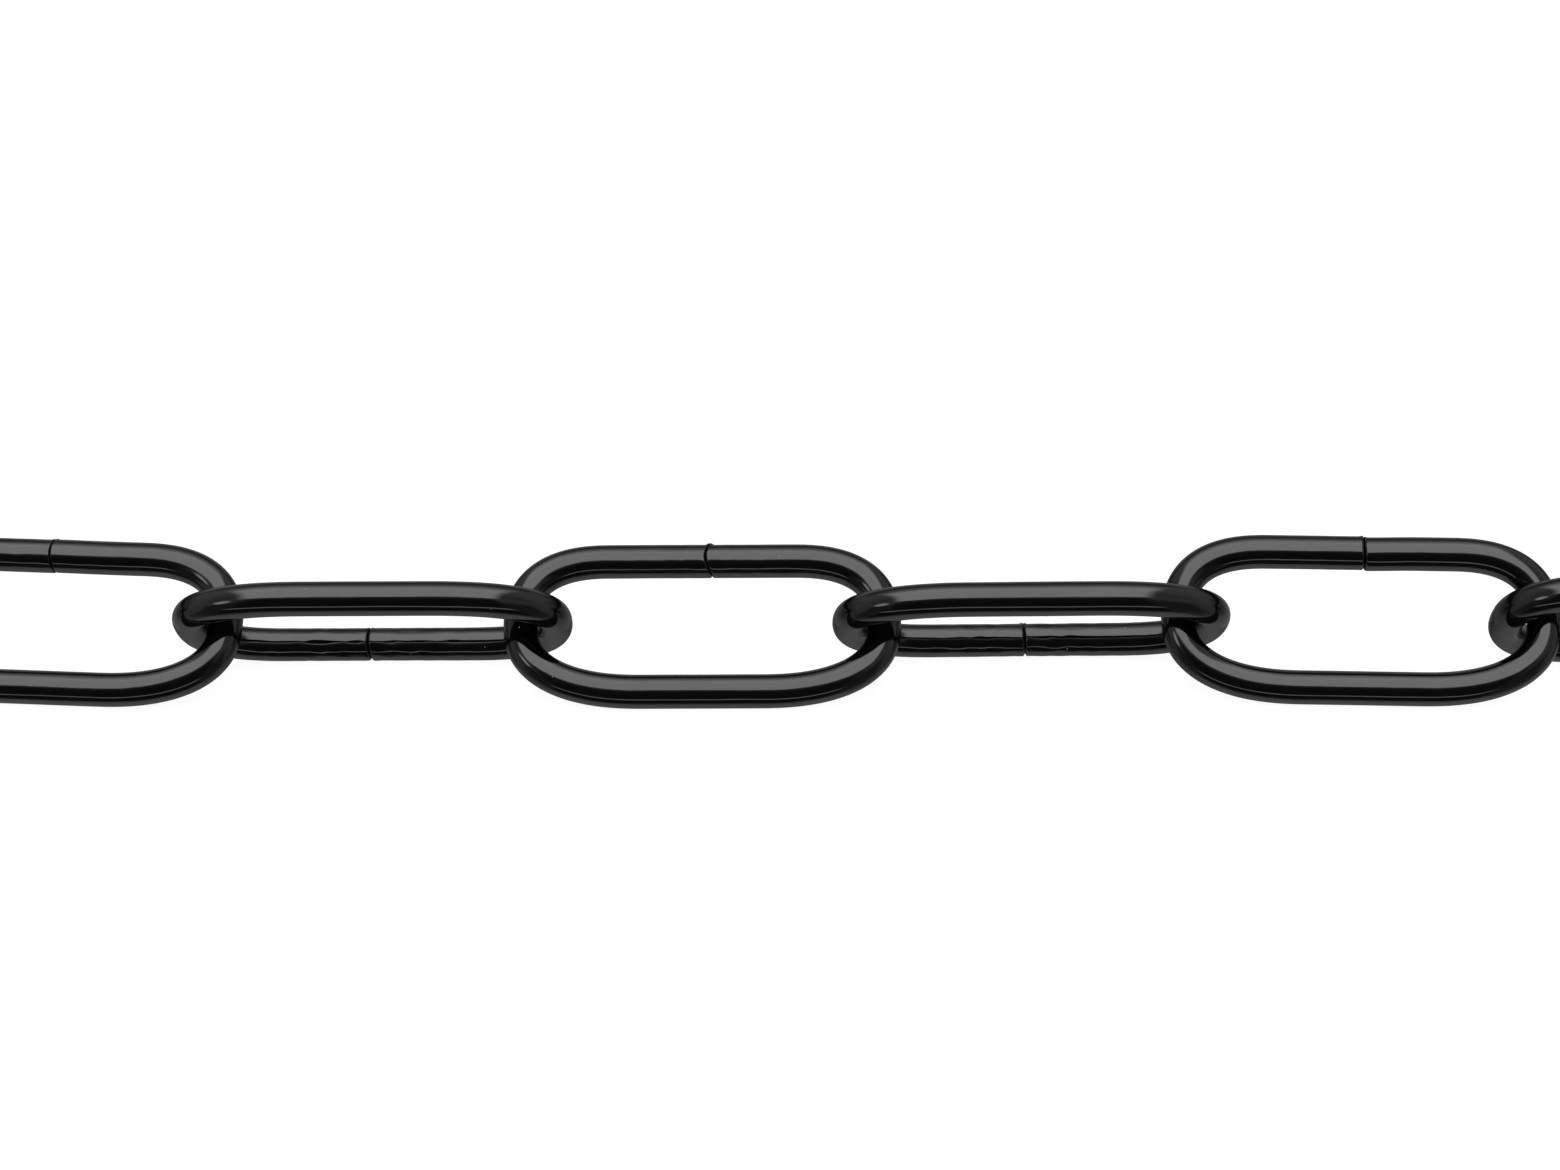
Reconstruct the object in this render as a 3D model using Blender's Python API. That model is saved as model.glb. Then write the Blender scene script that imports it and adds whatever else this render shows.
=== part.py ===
"""A foot of decorative oval-link chain, laid out straight on a level floor.

Ten links of bent round wire, each with a butt seam in one bar, in black lacquer.
The chain runs along X, as it fell: every link leans about 45 degrees, its neighbours lean the other way,
and each lies a little askew.
Metres, +Z up. The origin is on the floor, under the middle of the chain.
"""

import math

import bpy
from mathutils import Vector

# Driving dimensions of a link, in metres. The bends are longer and softer at the bar without the seam.
WIRE = 0.0032
INNER_WIDTH = 0.0095
PITCH = 0.03048
SEAM_GAP = 0.0003
LINK_GAP = 0.00048
SEAM_SIDE_BEND = 0.0087
SEAM_SIDE_FULLNESS = 2.5
OTHER_SIDE_BEND = 0.0117
OTHER_SIDE_FULLNESS = 2.35

# How each link lies, from the left end of the chain to the right: its lean about X and its turn about Z in
# degrees, then how far it lies towards +Y and how far its seam is from the middle of its bar, in metres.
LAY = (
    (45, -0.6, -0.00015, 0.0002),
    (-47, 2.3, 0.00035, -0.0006),
    (44, -4.0, 0.00007, 0.0001),
    (-49, 0.5, -0.0007, -0.0010),
    (42, 0.5, -0.0005, 0.0006),
    (-47, 1.0, -0.00005, -0.0001),
    (50.5, -1.8, -0.0006, 0.0003),
    (-54, 0.5, -0.00045, 0.0003),
    (46, -1.2, -0.00055, -0.0005),
    (-46, 0.5, -0.00065, 0.0004),
)

# How finely a link is drawn.
BEVEL_RESOLUTION = 4
WIRE_SIDES = 4 + 2 * BEVEL_RESOLUTION
BEND_STEPS = 15

# Worked out from the driving dimensions.
HALF_WIDTH = (INNER_WIDTH + WIRE) / 2
HALF_LENGTH = (PITCH + LINK_GAP + WIRE) / 2
SIDE_ANGLE = math.tau / WIRE_SIDES
CORNER_RADIUS = WIRE / 2 * math.sqrt(SIDE_ANGLE / math.sin(SIDE_ANGLE))
FLAT_RADIUS = CORNER_RADIUS * math.cos(SIDE_ANGLE / 2)
FACET_LEAN = math.radians(45)


def clear_scene():
    for old in list(bpy.data.objects):
        bpy.data.objects.remove(old, do_unlink=True)


def make_collection(name):
    collection = bpy.data.collections.new(name)
    bpy.context.scene.collection.children.link(collection)
    return collection


def black_lacquer():
    material = bpy.data.materials.new("black_lacquer")
    material.use_nodes = True
    shader = material.node_tree.nodes["Principled BSDF"]
    shader.inputs["Base Color"].default_value = (0.012, 0.012, 0.012, 1)
    shader.inputs["Roughness"].default_value = 0.12
    shader.inputs["Metallic"].default_value = 0
    return material


def bend_point(turn):
    """A point of the right-hand bend: turn runs from -90 degrees at the near bar to 90 at the far one."""
    seam_side = turn > 0
    length = SEAM_SIDE_BEND if seam_side else OTHER_SIDE_BEND
    power = 2 / (SEAM_SIDE_FULLNESS if seam_side else OTHER_SIDE_FULLNESS)
    along = HALF_LENGTH - length * (1 - abs(math.cos(turn)) ** power)
    across = math.copysign(HALF_WIDTH * abs(math.sin(turn)) ** power, turn)
    return along, across


def link_route(seam_shift):
    """The wire's centreline, from one cut end round the link to the other. The seam is in the far bar."""
    turns = [math.pi * (0.5 - step / BEND_STEPS) for step in range(BEND_STEPS + 1)]
    right = [bend_point(turn) for turn in turns]
    left = [(-along, across) for along, across in reversed(right)]
    seam_right = (seam_shift + SEAM_GAP / 2, HALF_WIDTH)
    seam_left = (seam_shift - SEAM_GAP / 2, HALF_WIDTH)
    return [seam_right, *right, *left, seam_left]


def make_link(name, middle, lean, turn, seam_shift, material, collection):
    curve = bpy.data.curves.new(name, "CURVE")
    curve.dimensions = "3D"
    curve.twist_mode = "Z_UP"
    curve.bevel_depth = CORNER_RADIUS
    curve.bevel_resolution = BEVEL_RESOLUTION
    curve.use_fill_caps = True
    curve.materials.append(material)
    route = link_route(seam_shift)
    wire = curve.splines.new("POLY")
    wire.points.add(len(route) - 1)
    # The wire is twisted so that one of its flats faces straight down.
    twist = abs(lean) - FACET_LEAN
    for point, (along, across) in zip(wire.points, route):
        point.co = (along, across, 0, 1)
        point.tilt = twist
    link = bpy.data.objects.new(name, curve)
    link.location = middle
    link.rotation_euler = (lean, 0, turn)
    collection.objects.link(link)
    return link


def hang(link, place, collection):
    """Parents a link to an empty on its hinge, at its neighbour's end, and leaves the link where it is."""
    hinge = bpy.data.objects.new(f"{link.name}_hinge", None)
    hinge.location = place
    collection.objects.link(hinge)
    link.parent = hinge
    link.location -= place


def make_chain():
    collection = make_collection("decorative_chain")
    lacquer = black_lacquer()
    first = -PITCH * (len(LAY) - 1) / 2
    neighbour_end = None
    for index, (lean_degrees, turn_degrees, aside, seam_shift) in enumerate(LAY):
        lean = math.radians(lean_degrees)
        turn = math.radians(turn_degrees)
        height = HALF_WIDTH * math.sin(abs(lean)) + FLAT_RADIUS
        middle = Vector((first + PITCH * index, aside, height))
        link = make_link(f"link_{index + 1:02d}", middle, lean, turn, seam_shift, lacquer, collection)
        if neighbour_end is not None:
            hang(link, neighbour_end, collection)
        neighbour_end = middle + HALF_LENGTH * Vector((math.cos(turn), math.sin(turn), 0))


clear_scene()
make_chain()
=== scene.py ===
"""Looks of the decorative chain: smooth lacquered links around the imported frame, on a pale floor."""

import math

import bpy
from mathutils import Matrix, Vector, noise


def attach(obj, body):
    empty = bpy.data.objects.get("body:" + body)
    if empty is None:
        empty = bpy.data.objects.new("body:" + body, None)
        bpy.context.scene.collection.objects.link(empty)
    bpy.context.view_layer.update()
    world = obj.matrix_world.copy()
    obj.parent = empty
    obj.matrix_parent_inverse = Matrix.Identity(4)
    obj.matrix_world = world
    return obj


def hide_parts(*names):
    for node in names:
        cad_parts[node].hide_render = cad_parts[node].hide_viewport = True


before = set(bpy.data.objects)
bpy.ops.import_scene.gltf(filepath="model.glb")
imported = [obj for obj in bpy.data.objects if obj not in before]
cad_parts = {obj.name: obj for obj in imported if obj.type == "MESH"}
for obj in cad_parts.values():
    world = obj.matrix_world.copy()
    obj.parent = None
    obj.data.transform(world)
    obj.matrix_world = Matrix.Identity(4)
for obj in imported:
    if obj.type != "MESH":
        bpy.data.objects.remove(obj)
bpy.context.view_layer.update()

# The link, in metres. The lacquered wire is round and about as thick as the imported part's prism. A link is
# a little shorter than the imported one, so that neighbours all but touch.
WIRE_RADIUS = 0.001592
HALF_WIDTH = 0.00635
HALF_LENGTH = 0.016865
PITCH = 0.03048
SEAM_SIDE_BEND = 0.00847
SEAM_SIDE_FULLNESS = 2.5
OTHER_SIDE_BEND = 0.01147
OTHER_SIDE_FULLNESS = 2.35

# How each link lies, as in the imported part, from the left end of the chain to the right: its lean about X
# and its turn about Z in degrees, then how far it lies towards +Y and how far its seam is from the middle
# of its bar, in metres.
LAY = (
    (45, -0.6, -0.00015, 0.0002),
    (-47, 2.3, 0.00035, -0.0006),
    (44, -4.0, 0.00007, 0.0001),
    (-49, 0.5, -0.0007, -0.0010),
    (42, 0.5, -0.0005, 0.0006),
    (-47, 1.0, -0.00005, -0.0001),
    (50.5, -1.8, -0.0006, 0.0003),
    (-54, 0.5, -0.00045, 0.0003),
    (46, -1.2, -0.00055, -0.0005),
    (-46, 0.5, -0.00065, 0.0004),
)

# How each link's cut ends look, in the same order and in metres. The rim is how far the ends are rounded
# along the wire. The slant and the bow are how far the cut runs along the wire from one side of it to the
# other. The step is how far the right end stands out from the left one. The burr is the height of the nib
# that the cutter left behind the top. The marks are how deep the closing tool dented the wire on either
# side.
SEAMS = (
    (0.00018, 0.00008, 0.00004, 0.00003, 0.00006, 0.000016),
    (0.00020, -0.00008, 0.00006, -0.00002, 0.00010, 0.000060),
    (0.00014, -0.00004, -0.00010, 0.00004, 0.00009, 0.000018),
    (0.00026, -0.00006, -0.00008, -0.00002, 0.00008, 0.000075),
    (0.00019, -0.00012, -0.00025, 0, 0.00022, 0.000026),
    (0.00025, -0.00010, 0, -0.00002, 0.00016, 0.000075),
    (0.00028, -0.00004, -0.00004, -0.00009, 0.00012, 0.000012),
    (0.00018, 0.00006, 0.00005, -0.00002, 0.00008, 0.000060),
    (0.00020, 0.00008, -0.00006, -0.00004, 0.00005, 0.000016),
    (0.00018, -0.00006, 0.00004, 0, 0.00012, 0.000060),
)
CUT_GAP = 0.00002
CUT_DEPTH = 0.00034
CUT_REACH = 0.0015
STEP_REACH = 0.005
BURR_SIDE = math.radians(-28)
BURR_WIDTH = math.radians(13)
BURR_REACH = 0.0004
# How much of the rounding of the ends the nib fills.
BURR_FILL = 0.5

# The wire is a little uneven: broad shallow waves, fainter flats that run along it from the drawing die,
# and the closing tool's marks. A length is along the wire, and a spread is how fast a form changes round it.
WAVE_DEPTH = 0.000018
WAVE_LENGTH = 0.0055
WAVE_SPREAD = 0.9
FLAT_DEPTH = 0.000008
FLAT_LENGTH = 0.03
FLAT_SPREAD = 3.5
MARK_LENGTH = 0.001
MARK_SPREAD = 3
MARK_REACH = 0.017

# The lacquer, in metres and per metre. A stretch is how fast a pattern changes along the wire, against 1
# across it.
LACQUER = (0.0010, 0.0010, 0.0011, 1)
LACQUER_IOR = 1.5
DUST = (0.16, 0.16, 0.15, 1)
ROUGHNESS = (0.045, 0.085)
DUST_ROUGHNESS = 0.5
RUNS_PER_METRE = 450
RUNS_STRETCH = (0.4, 1, 1)
RUNS_DEPTH = 0.00003
LINES_PER_METRE = 2600
LINES_STRETCH = (0.02, 1, 1)
LINES_DETAIL = 3
LINES_DEPTH = 0.000002
PEEL_PER_METRE = 2200
PEEL_DEPTH = 0.0000015
HAZE_PER_METRE = 180
HAZE_DETAIL = 4
HAZE_RANGE = (0.35, 0.75)
DUST_PER_METRE = 420
DUST_SIZE = 0.035
DUST_CORE = 0.6 * DUST_SIZE
DUST_RARITY = 0.55
DUST_RARITY_EDGE = 0.02
DUST_DEPTH = 0.00001

# How finely a link is drawn. The cut's stations are in rims from the cut end.
WIRE_SIDES = 72
BEND_STATIONS = 72
BAR_STATIONS = 20
CUT_STATIONS = (0, 0.01, 0.04, 0.1, 0.18, 0.28, 0.4, 0.55, 0.75, 1, 1.5, 2.5, 4, 7)

# The photo's camera.
PHOTO_WIDTH = 1560
MM_PER_PIXEL = 0.0928
MM_PER_METRE = 1000
SENSOR_WIDTH = 36
CLIP_START = 0.01
CAMERA_DISTANCE = 0.280
CAMERA_ELEVATION = math.radians(28.9)
AIM_X = -0.008055
AIM_RISE = 0.00325
AXIS_HEIGHT = 0.0062

# The pale floor and backdrop glow, so that they stay as white as the photo's ground.
FLOOR_SIZE = 6
BACKDROP_RADIUS = 2.5
BACKDROP_HEIGHT = 3
BACKDROP_SIDES = 96
PALE_BASE = (0.1, 0.1, 0.1, 1)
WHITE = (1, 1, 1, 1)
FLOOR_GLOW = 0.95
FLOOR_SPECULAR = 0
BACKDROP_GLOW = 0.97
BACKDROP_SPECULAR = 0.5

# The studio round the chain, as (degrees, brightness): 0 degrees is the camera's horizon, 90 is straight
# up, 180 the horizon behind the chain and -90 straight down. The softbox is overhead, and the table glows
# from below.
STUDIO_MIDDLE = (
    (-180, 0.28),
    (-136, 0.10),
    (-118, 0.25),
    (-84, 0.60),
    (-68, 0.72),
    (-60, 0.28),
    (-52, 0.04),
    (-29, 0.04),
    (-27, 2.0),
    (-24, 2.0),
    (-22, 0.05),
    (0, 0.04),
    (28, 0.07),
    (38, 0.30),
    (43, 3.4),
    (100, 3.4),
    (114, 2.0),
    (124, 0.8),
    (136, 0.42),
    (143, 0.14),
    (154, 0.14),
    (162, 0.40),
    (180, 0.28),
)
STUDIO_SIDES = (
    (-180, 0.20),
    (-140, 0.30),
    (-90, 0.45),
    (-72, 0.40),
    (-58, 0.20),
    (-40, 0.14),
    (8, 0.13),
    (36, 0.50),
    (60, 0.35),
    (90, 0.55),
    (115, 0.60),
    (145, 0.40),
    (160, 0.12),
    (180, 0.10),
)
STUDIO_ENDS = (
    (-180, 0.18),
    (-110, 0.18),
    (-60, 0.34),
    (20, 0.45),
    (100, 0.50),
    (150, 0.20),
    (180, 0.18),
)
# Where the softbox ends to the left and right, and where the ends of the room begin, as X of the direction.
SOFTBOX_MIDDLE = -0.05
SOFTBOX_EDGE = (0.41, 0.56)
ROOM_EDGE = (0.78, 0.92)
# A small lamp to the left, a little above the camera's horizon.
LAMP_X = -0.72
LAMP_RISE = math.radians(28)
LAMP_SIZE = (math.radians(4), math.radians(9))
LAMP_BRIGHTNESS = 3.6
BRIGHTEST = 3.6

# The sockets of a Mix node, by number, because its numbers and its colours share their names.
NUMBER_A, NUMBER_B, NUMBER_MIX = 2, 3, 0
COLOUR_A, COLOUR_B, COLOUR_MIX = 6, 7, 2


def shader_node(tree, kind, **settings):
    node = tree.nodes.new(kind)
    for name, value in settings.items():
        setattr(node, name, value)
    return node


def scaled(tree, source, scale):
    """The source vector, stretched along each axis."""
    node = shader_node(tree, "ShaderNodeVectorMath", operation="MULTIPLY")
    node.inputs[1].default_value = scale
    tree.links.new(source, node.inputs[0])
    return node.outputs[0]


def noise_of(tree, source, scale, detail=2):
    node = shader_node(tree, "ShaderNodeTexNoise")
    node.inputs["Scale"].default_value = scale
    node.inputs["Detail"].default_value = detail
    tree.links.new(source, node.inputs["Vector"])
    return node.outputs["Fac"]


def between(tree, source, low, high, to_low, to_high):
    """The source, mapped from low..high to to_low..to_high and held there."""
    node = shader_node(tree, "ShaderNodeMapRange")
    for name, value in (("From Min", low), ("From Max", high), ("To Min", to_low), ("To Max", to_high)):
        node.inputs[name].default_value = value
    tree.links.new(source, node.inputs["Value"])
    return node.outputs[0]


def bumped(tree, height, depth, below=None):
    """A bump of the height map, this deep in metres, on top of another bump."""
    node = shader_node(tree, "ShaderNodeBump")
    node.inputs["Distance"].default_value = depth
    tree.links.new(height, node.inputs["Height"])
    if below:
        tree.links.new(below, node.inputs["Normal"])
    return node.outputs["Normal"]


def specks(tree, place):
    """Dust in the lacquer: 1 on a few small dots, a few millimetres apart, and 0 between them."""
    cells = shader_node(tree, "ShaderNodeTexVoronoi")
    cells.inputs["Scale"].default_value = DUST_PER_METRE
    tree.links.new(place, cells.inputs["Vector"])
    dot = between(tree, cells.outputs["Distance"], DUST_CORE, DUST_SIZE, 1, 0)
    pick = shader_node(tree, "ShaderNodeSeparateXYZ")
    tree.links.new(cells.outputs["Color"], pick.inputs[0])
    chosen = between(tree, pick.outputs["X"], DUST_RARITY, DUST_RARITY + DUST_RARITY_EDGE, 0, 1)
    both = shader_node(tree, "ShaderNodeMath", operation="MULTIPLY")
    tree.links.new(dot, both.inputs[0])
    tree.links.new(chosen, both.inputs[1])
    return both.outputs[0]


def lacquer_material():
    """Glossy black lacquer over drawn wire: runs, orange peel, die lines along it, hazy spots and dust."""
    material = bpy.data.materials.new("black_lacquer")
    material.use_nodes = True
    tree = material.node_tree
    shader = tree.nodes["Principled BSDF"]
    shader.inputs["IOR"].default_value = LACQUER_IOR
    place = shader_node(tree, "ShaderNodeAttribute", attribute_name="wire_place").outputs["Vector"]
    runs = noise_of(tree, scaled(tree, place, RUNS_STRETCH), RUNS_PER_METRE)
    peel = noise_of(tree, place, PEEL_PER_METRE)
    lines = noise_of(tree, scaled(tree, place, LINES_STRETCH), LINES_PER_METRE, LINES_DETAIL)
    dust = specks(tree, place)
    normal = bumped(tree, runs, RUNS_DEPTH)
    normal = bumped(tree, lines, LINES_DEPTH, normal)
    normal = bumped(tree, peel, PEEL_DEPTH, normal)
    normal = bumped(tree, dust, DUST_DEPTH, normal)
    tree.links.new(normal, shader.inputs["Normal"])
    haze = between(tree, noise_of(tree, place, HAZE_PER_METRE, HAZE_DETAIL), *HAZE_RANGE, *ROUGHNESS)
    dusty = shader_node(tree, "ShaderNodeMix")
    tree.links.new(dust, dusty.inputs["Factor"])
    tree.links.new(haze, dusty.inputs[NUMBER_A])
    dusty.inputs[NUMBER_B].default_value = DUST_ROUGHNESS
    tree.links.new(dusty.outputs[NUMBER_MIX], shader.inputs["Roughness"])
    tint = shader_node(tree, "ShaderNodeMix", data_type="RGBA")
    tree.links.new(dust, tint.inputs["Factor"])
    tint.inputs[COLOUR_A].default_value = LACQUER
    tint.inputs[COLOUR_B].default_value = DUST
    tree.links.new(tint.outputs[COLOUR_MIX], shader.inputs["Base Color"])
    return material


def bend_point(turn):
    """A point of the right-hand bend: turn runs from -90 degrees at the near bar to 90 at the far one."""
    seam_side = turn > 0
    length = SEAM_SIDE_BEND if seam_side else OTHER_SIDE_BEND
    power = 2 / (SEAM_SIDE_FULLNESS if seam_side else OTHER_SIDE_FULLNESS)
    along = HALF_LENGTH - length * (1 - abs(math.cos(turn)) ** power)
    across = math.copysign(HALF_WIDTH * abs(math.sin(turn)) ** power, turn)
    return along, across


def bar(start, end, across):
    """The points inside a straight stretch of wire, without its two ends."""
    steps = range(1, BAR_STATIONS)
    return [(start + (end - start) * step / BAR_STATIONS, across) for step in steps]


def link_route(seam_shift, rim):
    """The wire's centreline round the link, from one cut end to the other, finer near the cut."""
    turns = [math.pi * (0.5 - step / BEND_STATIONS) for step in range(BEND_STATIONS + 1)]
    right = [bend_point(turn) for turn in turns]
    left = [(-along, across) for along, across in reversed(right)]
    seam_side_start = HALF_LENGTH - SEAM_SIDE_BEND
    other_side_start = HALF_LENGTH - OTHER_SIDE_BEND
    cut = [CUT_GAP / 2 + rim * share for share in CUT_STATIONS]
    right_cut = [(seam_shift + back, HALF_WIDTH) for back in cut]
    left_cut = [(seam_shift - back, HALF_WIDTH) for back in reversed(cut)]
    return [
        *right_cut,
        *bar(right_cut[-1][0], seam_side_start, HALF_WIDTH),
        *right,
        *bar(other_side_start, -other_side_start, -HALF_WIDTH),
        *left,
        *bar(-seam_side_start, left_cut[0][0], HALF_WIDTH),
        *left_cut,
    ]


def fade(distance, reach):
    """1 at the cut, falling smoothly to 0 at the reach."""
    share = max(0, 1 - distance / reach)
    return share * share * (3 - 2 * share)


def sides():
    """The directions round the wire, as an angle and its cosine and sine."""
    for side in range(WIRE_SIDES):
        angle = math.tau * side / WIRE_SIDES
        yield angle, math.cos(angle), math.sin(angle)


def relief(place, out, rise, length, spread):
    """How deep a form of this length and spread is at a place on the wire, from 0 to 1."""
    return 0.5 + 0.5 * noise.noise(Vector((place / length, spread * out, spread * rise)))


def ring(centre, heading, place, from_cut, seam, up_side, is_right_end):
    """The points round the wire at one place, with what the cutter and the drawing die left there."""
    rim, slant, bow, step, burr, marks = seam
    outward = Vector((-heading.y, heading.x, 0))
    normal = Vector((0, 0, 1))
    back = max(0, 1 - from_cut / rim)
    round_off = CUT_DEPTH * (1 - math.sqrt(1 - back * back))
    near_cut = fade(from_cut, CUT_REACH)
    aside = step * fade(from_cut, STEP_REACH) if is_right_end else 0
    points = []
    for angle, out, rise in sides():
        wave = WAVE_DEPTH * relief(place, out, rise, WAVE_LENGTH, WAVE_SPREAD)
        flat = FLAT_DEPTH * relief(place, out, rise, FLAT_LENGTH, FLAT_SPREAD)
        dent = marks * fade(from_cut, MARK_REACH) * relief(place, out, rise, MARK_LENGTH, MARK_SPREAD)
        radius = WIRE_RADIUS - (wave + flat + dent) - round_off
        from_top = angle - up_side
        from_burr = abs((from_top - BURR_SIDE + math.pi) % math.tau - math.pi)
        burr_share = math.exp(-((from_burr / BURR_WIDTH) ** 2))
        nib = (burr + BURR_FILL * round_off) * burr_share * fade(from_cut, BURR_REACH)
        point = centre + (radius + nib) * (out * outward + rise * normal)
        point.x += near_cut * (slant * math.cos(from_top) + bow * math.sin(2 * from_top))
        point.y += aside
        points.append(point)
    return points


def tube_faces(last):
    """The faces round a wire of rings 0 to last, and fans over its cut ends round the last two points."""
    faces = []
    for step in range(last):
        near, far = step * WIRE_SIDES, (step + 1) * WIRE_SIDES
        for side in range(WIRE_SIDES):
            after = (side + 1) % WIRE_SIDES
            faces.append((near + side, near + after, far + after, far + side))
    right_middle = (last + 1) * WIRE_SIDES
    left_middle = right_middle + 1
    left_ring = last * WIRE_SIDES
    for side in range(WIRE_SIDES):
        after = (side + 1) % WIRE_SIDES
        faces.append((right_middle, after, side))
        faces.append((left_middle, left_ring + side, left_ring + after))
    return faces


def make_link(node, index):
    """A link's wire. Its attribute wire_place says where each point would be on straight wire."""
    lean_degrees, turn_degrees, aside, seam_shift = LAY[index]
    seam = SEAMS[index]
    rim, _, _, right_end_step, _, _ = seam
    lean = math.radians(lean_degrees)
    turn = math.radians(turn_degrees)
    # The side of the wire that faces up, as an angle from the link's outward side towards its normal.
    up_side = math.pi / 2 - lean
    route = [Vector((along, across, 0)) for along, across in link_route(seam_shift, rim)]
    last = len(route) - 1
    lengths = [0.0]
    for before, after in zip(route, route[1:]):
        lengths.append(lengths[-1] + (after - before).length)
    points = []
    wire_places = []
    for step, centre in enumerate(route):
        heading = (route[min(step + 1, last)] - route[max(step - 1, 0)]).normalized()
        from_cut = min(lengths[step], lengths[last] - lengths[step])
        is_right_end = step < last / 2
        # Each link's places start a metre after its neighbour's, so that no two links look the same.
        place = lengths[step] + index
        points += ring(centre, heading, place, from_cut, seam, up_side, is_right_end)
        for _, out, rise in sides():
            wire_places += (place, WIRE_RADIUS * out, WIRE_RADIUS * rise)
    points += (route[0] + Vector((0, right_end_step, 0)), route[last])
    wire_places += (index, 0, 0, lengths[last] + index, 0, 0)
    mesh = bpy.data.meshes.new(node + "_wire")
    mesh.from_pydata(points, [], tube_faces(last))
    mesh.polygons.foreach_set("use_smooth", [True] * len(mesh.polygons))
    mesh.attributes.new("wire_place", "FLOAT_VECTOR", "POINT").data.foreach_set("vector", wire_places)
    link = bpy.data.objects.new(node + "_wire", mesh)
    height = HALF_WIDTH * math.sin(abs(lean)) + WIRE_RADIUS
    middle = Vector((PITCH * (index - (len(LAY) - 1) / 2), aside, height))
    leaning = Matrix.Rotation(turn, 4, "Z") @ Matrix.Rotation(lean, 4, "X")
    mesh.transform(Matrix.Translation(middle) @ leaning)
    bpy.context.scene.collection.objects.link(link)
    return link


def pale_material(name, glow, specular):
    material = bpy.data.materials.new(name)
    material.use_nodes = True
    shader = material.node_tree.nodes["Principled BSDF"]
    shader.inputs["Base Color"].default_value = PALE_BASE
    shader.inputs["Roughness"].default_value = 1
    shader.inputs["Specular IOR Level"].default_value = specular
    shader.inputs["Emission Color"].default_value = WHITE
    shader.inputs["Emission Strength"].default_value = glow
    return material


def make_floor():
    """A pale floor that the lacquer doesn't mirror."""
    bpy.ops.mesh.primitive_plane_add(size=FLOOR_SIZE, location=(0, 0, 0))
    floor = bpy.context.object
    floor.name = "floor"
    floor.data.materials.append(pale_material("pale_floor", FLOOR_GLOW, FLOOR_SPECULAR))
    floor.visible_glossy = False


def make_backdrop():
    """A pale closed drum round the chain, seen by the camera only."""
    bpy.ops.mesh.primitive_cylinder_add(
        radius=BACKDROP_RADIUS, depth=BACKDROP_HEIGHT, vertices=BACKDROP_SIDES
    )
    backdrop = bpy.context.object
    backdrop.name = "backdrop"
    backdrop.data.materials.append(pale_material("pale_backdrop", BACKDROP_GLOW, BACKDROP_SPECULAR))
    backdrop.visible_diffuse = False
    backdrop.visible_glossy = False
    backdrop.visible_transmission = False
    backdrop.visible_shadow = False


def ramp_of(tree, stops):
    """A colour ramp through (degrees, brightness) stops, for a turn from -180 to 180 degrees."""
    node = shader_node(tree, "ShaderNodeValToRGB")
    ramp = node.color_ramp
    while len(ramp.elements) < len(stops):
        ramp.elements.new(0.5)
    for element, (degrees, brightness) in zip(ramp.elements, stops):
        element.position = (degrees + 180) / 360
        value = brightness / BRIGHTEST
        element.color = (value, value, value, 1)
    return node


def share_of(tree, source, edge):
    """Runs smoothly from 0 to 1 as its source runs over the edge."""
    node = shader_node(tree, "ShaderNodeMapRange", interpolation_type="SMOOTHSTEP")
    node.inputs["From Min"].default_value = edge[0]
    node.inputs["From Max"].default_value = edge[1]
    tree.links.new(source, node.inputs["Value"])
    return node.outputs[0]


def mixed(tree, share, first, second):
    """The first colour where the share is 0, and the second where it is 1."""
    node = shader_node(tree, "ShaderNodeMix", data_type="RGBA")
    tree.links.new(share, node.inputs["Factor"])
    tree.links.new(first, node.inputs[COLOUR_A])
    tree.links.new(second, node.inputs[COLOUR_B])
    return node.outputs[COLOUR_MIX]


def distance_from(tree, source, middle):
    """How far the source is from the middle value, on either side."""
    offset = shader_node(tree, "ShaderNodeMath", operation="SUBTRACT")
    offset.inputs[1].default_value = middle
    tree.links.new(source, offset.inputs[0])
    size = shader_node(tree, "ShaderNodeMath", operation="ABSOLUTE")
    tree.links.new(offset.outputs[0], size.inputs[0])
    return size.outputs[0]


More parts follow.
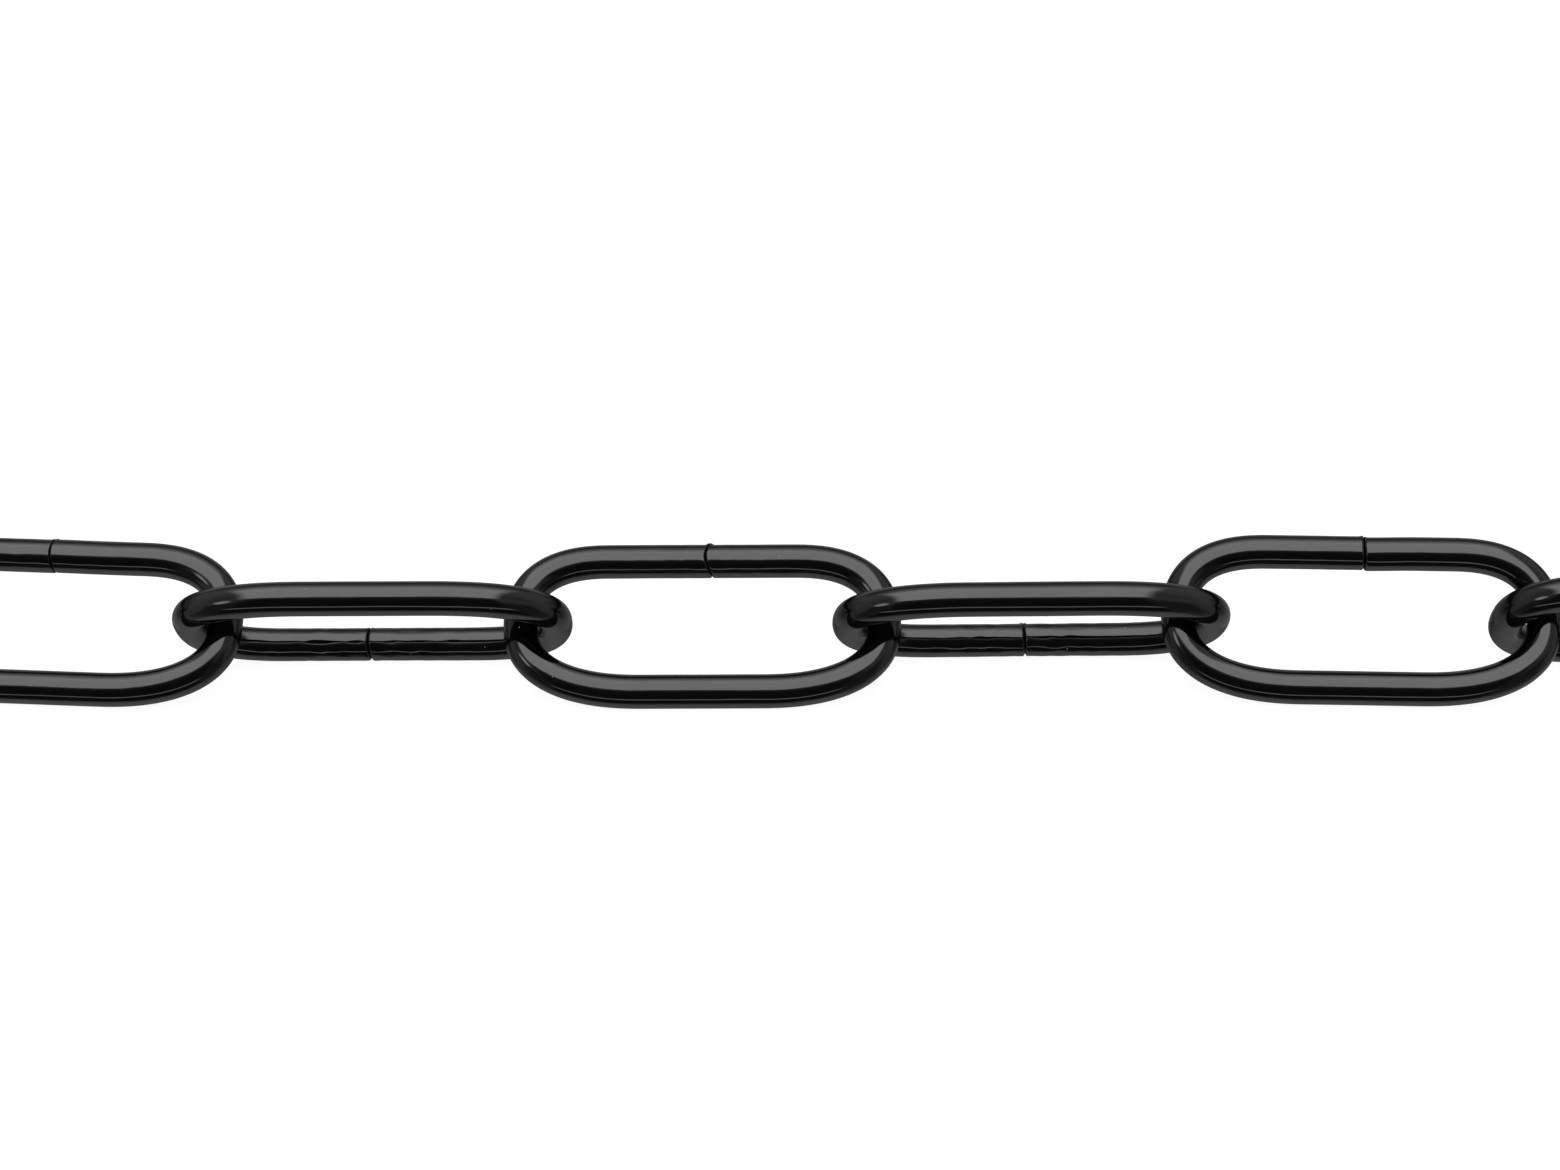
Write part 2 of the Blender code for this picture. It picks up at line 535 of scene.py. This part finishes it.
def make_studio():
    """The world: what is seen and mirrored in each direction."""
    world = bpy.data.worlds.new("studio")
    bpy.context.scene.world = world
    world.use_nodes = True
    tree = world.node_tree
    direction = shader_node(tree, "ShaderNodeTexCoord").outputs["Generated"]
    parts = shader_node(tree, "ShaderNodeSeparateXYZ")
    tree.links.new(direction, parts.inputs[0])
    forward = shader_node(tree, "ShaderNodeMath", operation="MULTIPLY")
    forward.inputs[1].default_value = -1
    tree.links.new(parts.outputs["Y"], forward.inputs[0])
    around = shader_node(tree, "ShaderNodeMath", operation="ARCTAN2")
    tree.links.new(parts.outputs["Z"], around.inputs[0])
    tree.links.new(forward.outputs[0], around.inputs[1])
    turn = between(tree, around.outputs[0], -math.pi, math.pi, 0, 1)
    zones = []
    for stops in (STUDIO_MIDDLE, STUDIO_SIDES, STUDIO_ENDS):
        ramp = ramp_of(tree, stops)
        tree.links.new(turn, ramp.inputs[0])
        zones.append(ramp.outputs["Color"])
    middle, beside, ends = zones
    past_softbox = share_of(tree, distance_from(tree, parts.outputs["X"], SOFTBOX_MIDDLE), SOFTBOX_EDGE)
    past_room = share_of(tree, distance_from(tree, parts.outputs["X"], 0), ROOM_EDGE)
    room = mixed(tree, past_room, mixed(tree, past_softbox, middle, beside), ends)
    towards_lamp = shader_node(tree, "ShaderNodeVectorMath", operation="DOT_PRODUCT")
    level = math.sqrt(1 - LAMP_X * LAMP_X)
    lamp = (LAMP_X, -level * math.cos(LAMP_RISE), level * math.sin(LAMP_RISE))
    towards_lamp.inputs[1].default_value = lamp
    tree.links.new(direction, towards_lamp.inputs[0])
    lamp_edge = (math.cos(LAMP_SIZE[1]), math.cos(LAMP_SIZE[0]))
    on_lamp = share_of(tree, towards_lamp.outputs["Value"], lamp_edge)
    glow = shader_node(tree, "ShaderNodeRGB")
    value = LAMP_BRIGHTNESS / BRIGHTEST
    glow.outputs[0].default_value = (value, value, value, 1)
    background = tree.nodes["Background"]
    background.inputs["Strength"].default_value = BRIGHTEST
    tree.links.new(mixed(tree, on_lamp, room, glow.outputs[0]), background.inputs["Color"])


def make_camera():
    camera = bpy.data.objects.new("camera", bpy.data.cameras.new("camera"))
    camera.data.sensor_width = SENSOR_WIDTH
    camera.data.lens = SENSOR_WIDTH * CAMERA_DISTANCE * MM_PER_METRE / MM_PER_PIXEL / PHOTO_WIDTH
    camera.data.clip_start = CLIP_START
    away = Vector((0, -math.cos(CAMERA_ELEVATION), math.sin(CAMERA_ELEVATION)))
    up = Vector((0, math.sin(CAMERA_ELEVATION), math.cos(CAMERA_ELEVATION)))
    aim = Vector((AIM_X, 0, AXIS_HEIGHT)) + AIM_RISE * up
    camera.location = aim + CAMERA_DISTANCE * away
    camera.rotation_euler = (-away).to_track_quat("-Z", "Y").to_euler()
    bpy.context.scene.collection.objects.link(camera)
    bpy.context.scene.camera = camera


make_camera()
make_studio()
make_floor()
make_backdrop()
lacquer = lacquer_material()
for index in range(len(LAY)):
    node = f"link_{index + 1:02d}"
    link = make_link(node, index)
    link.data.materials.append(lacquer)
    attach(link, node)
    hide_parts(node)
bpy.context.scene.view_settings.view_transform = "Standard"
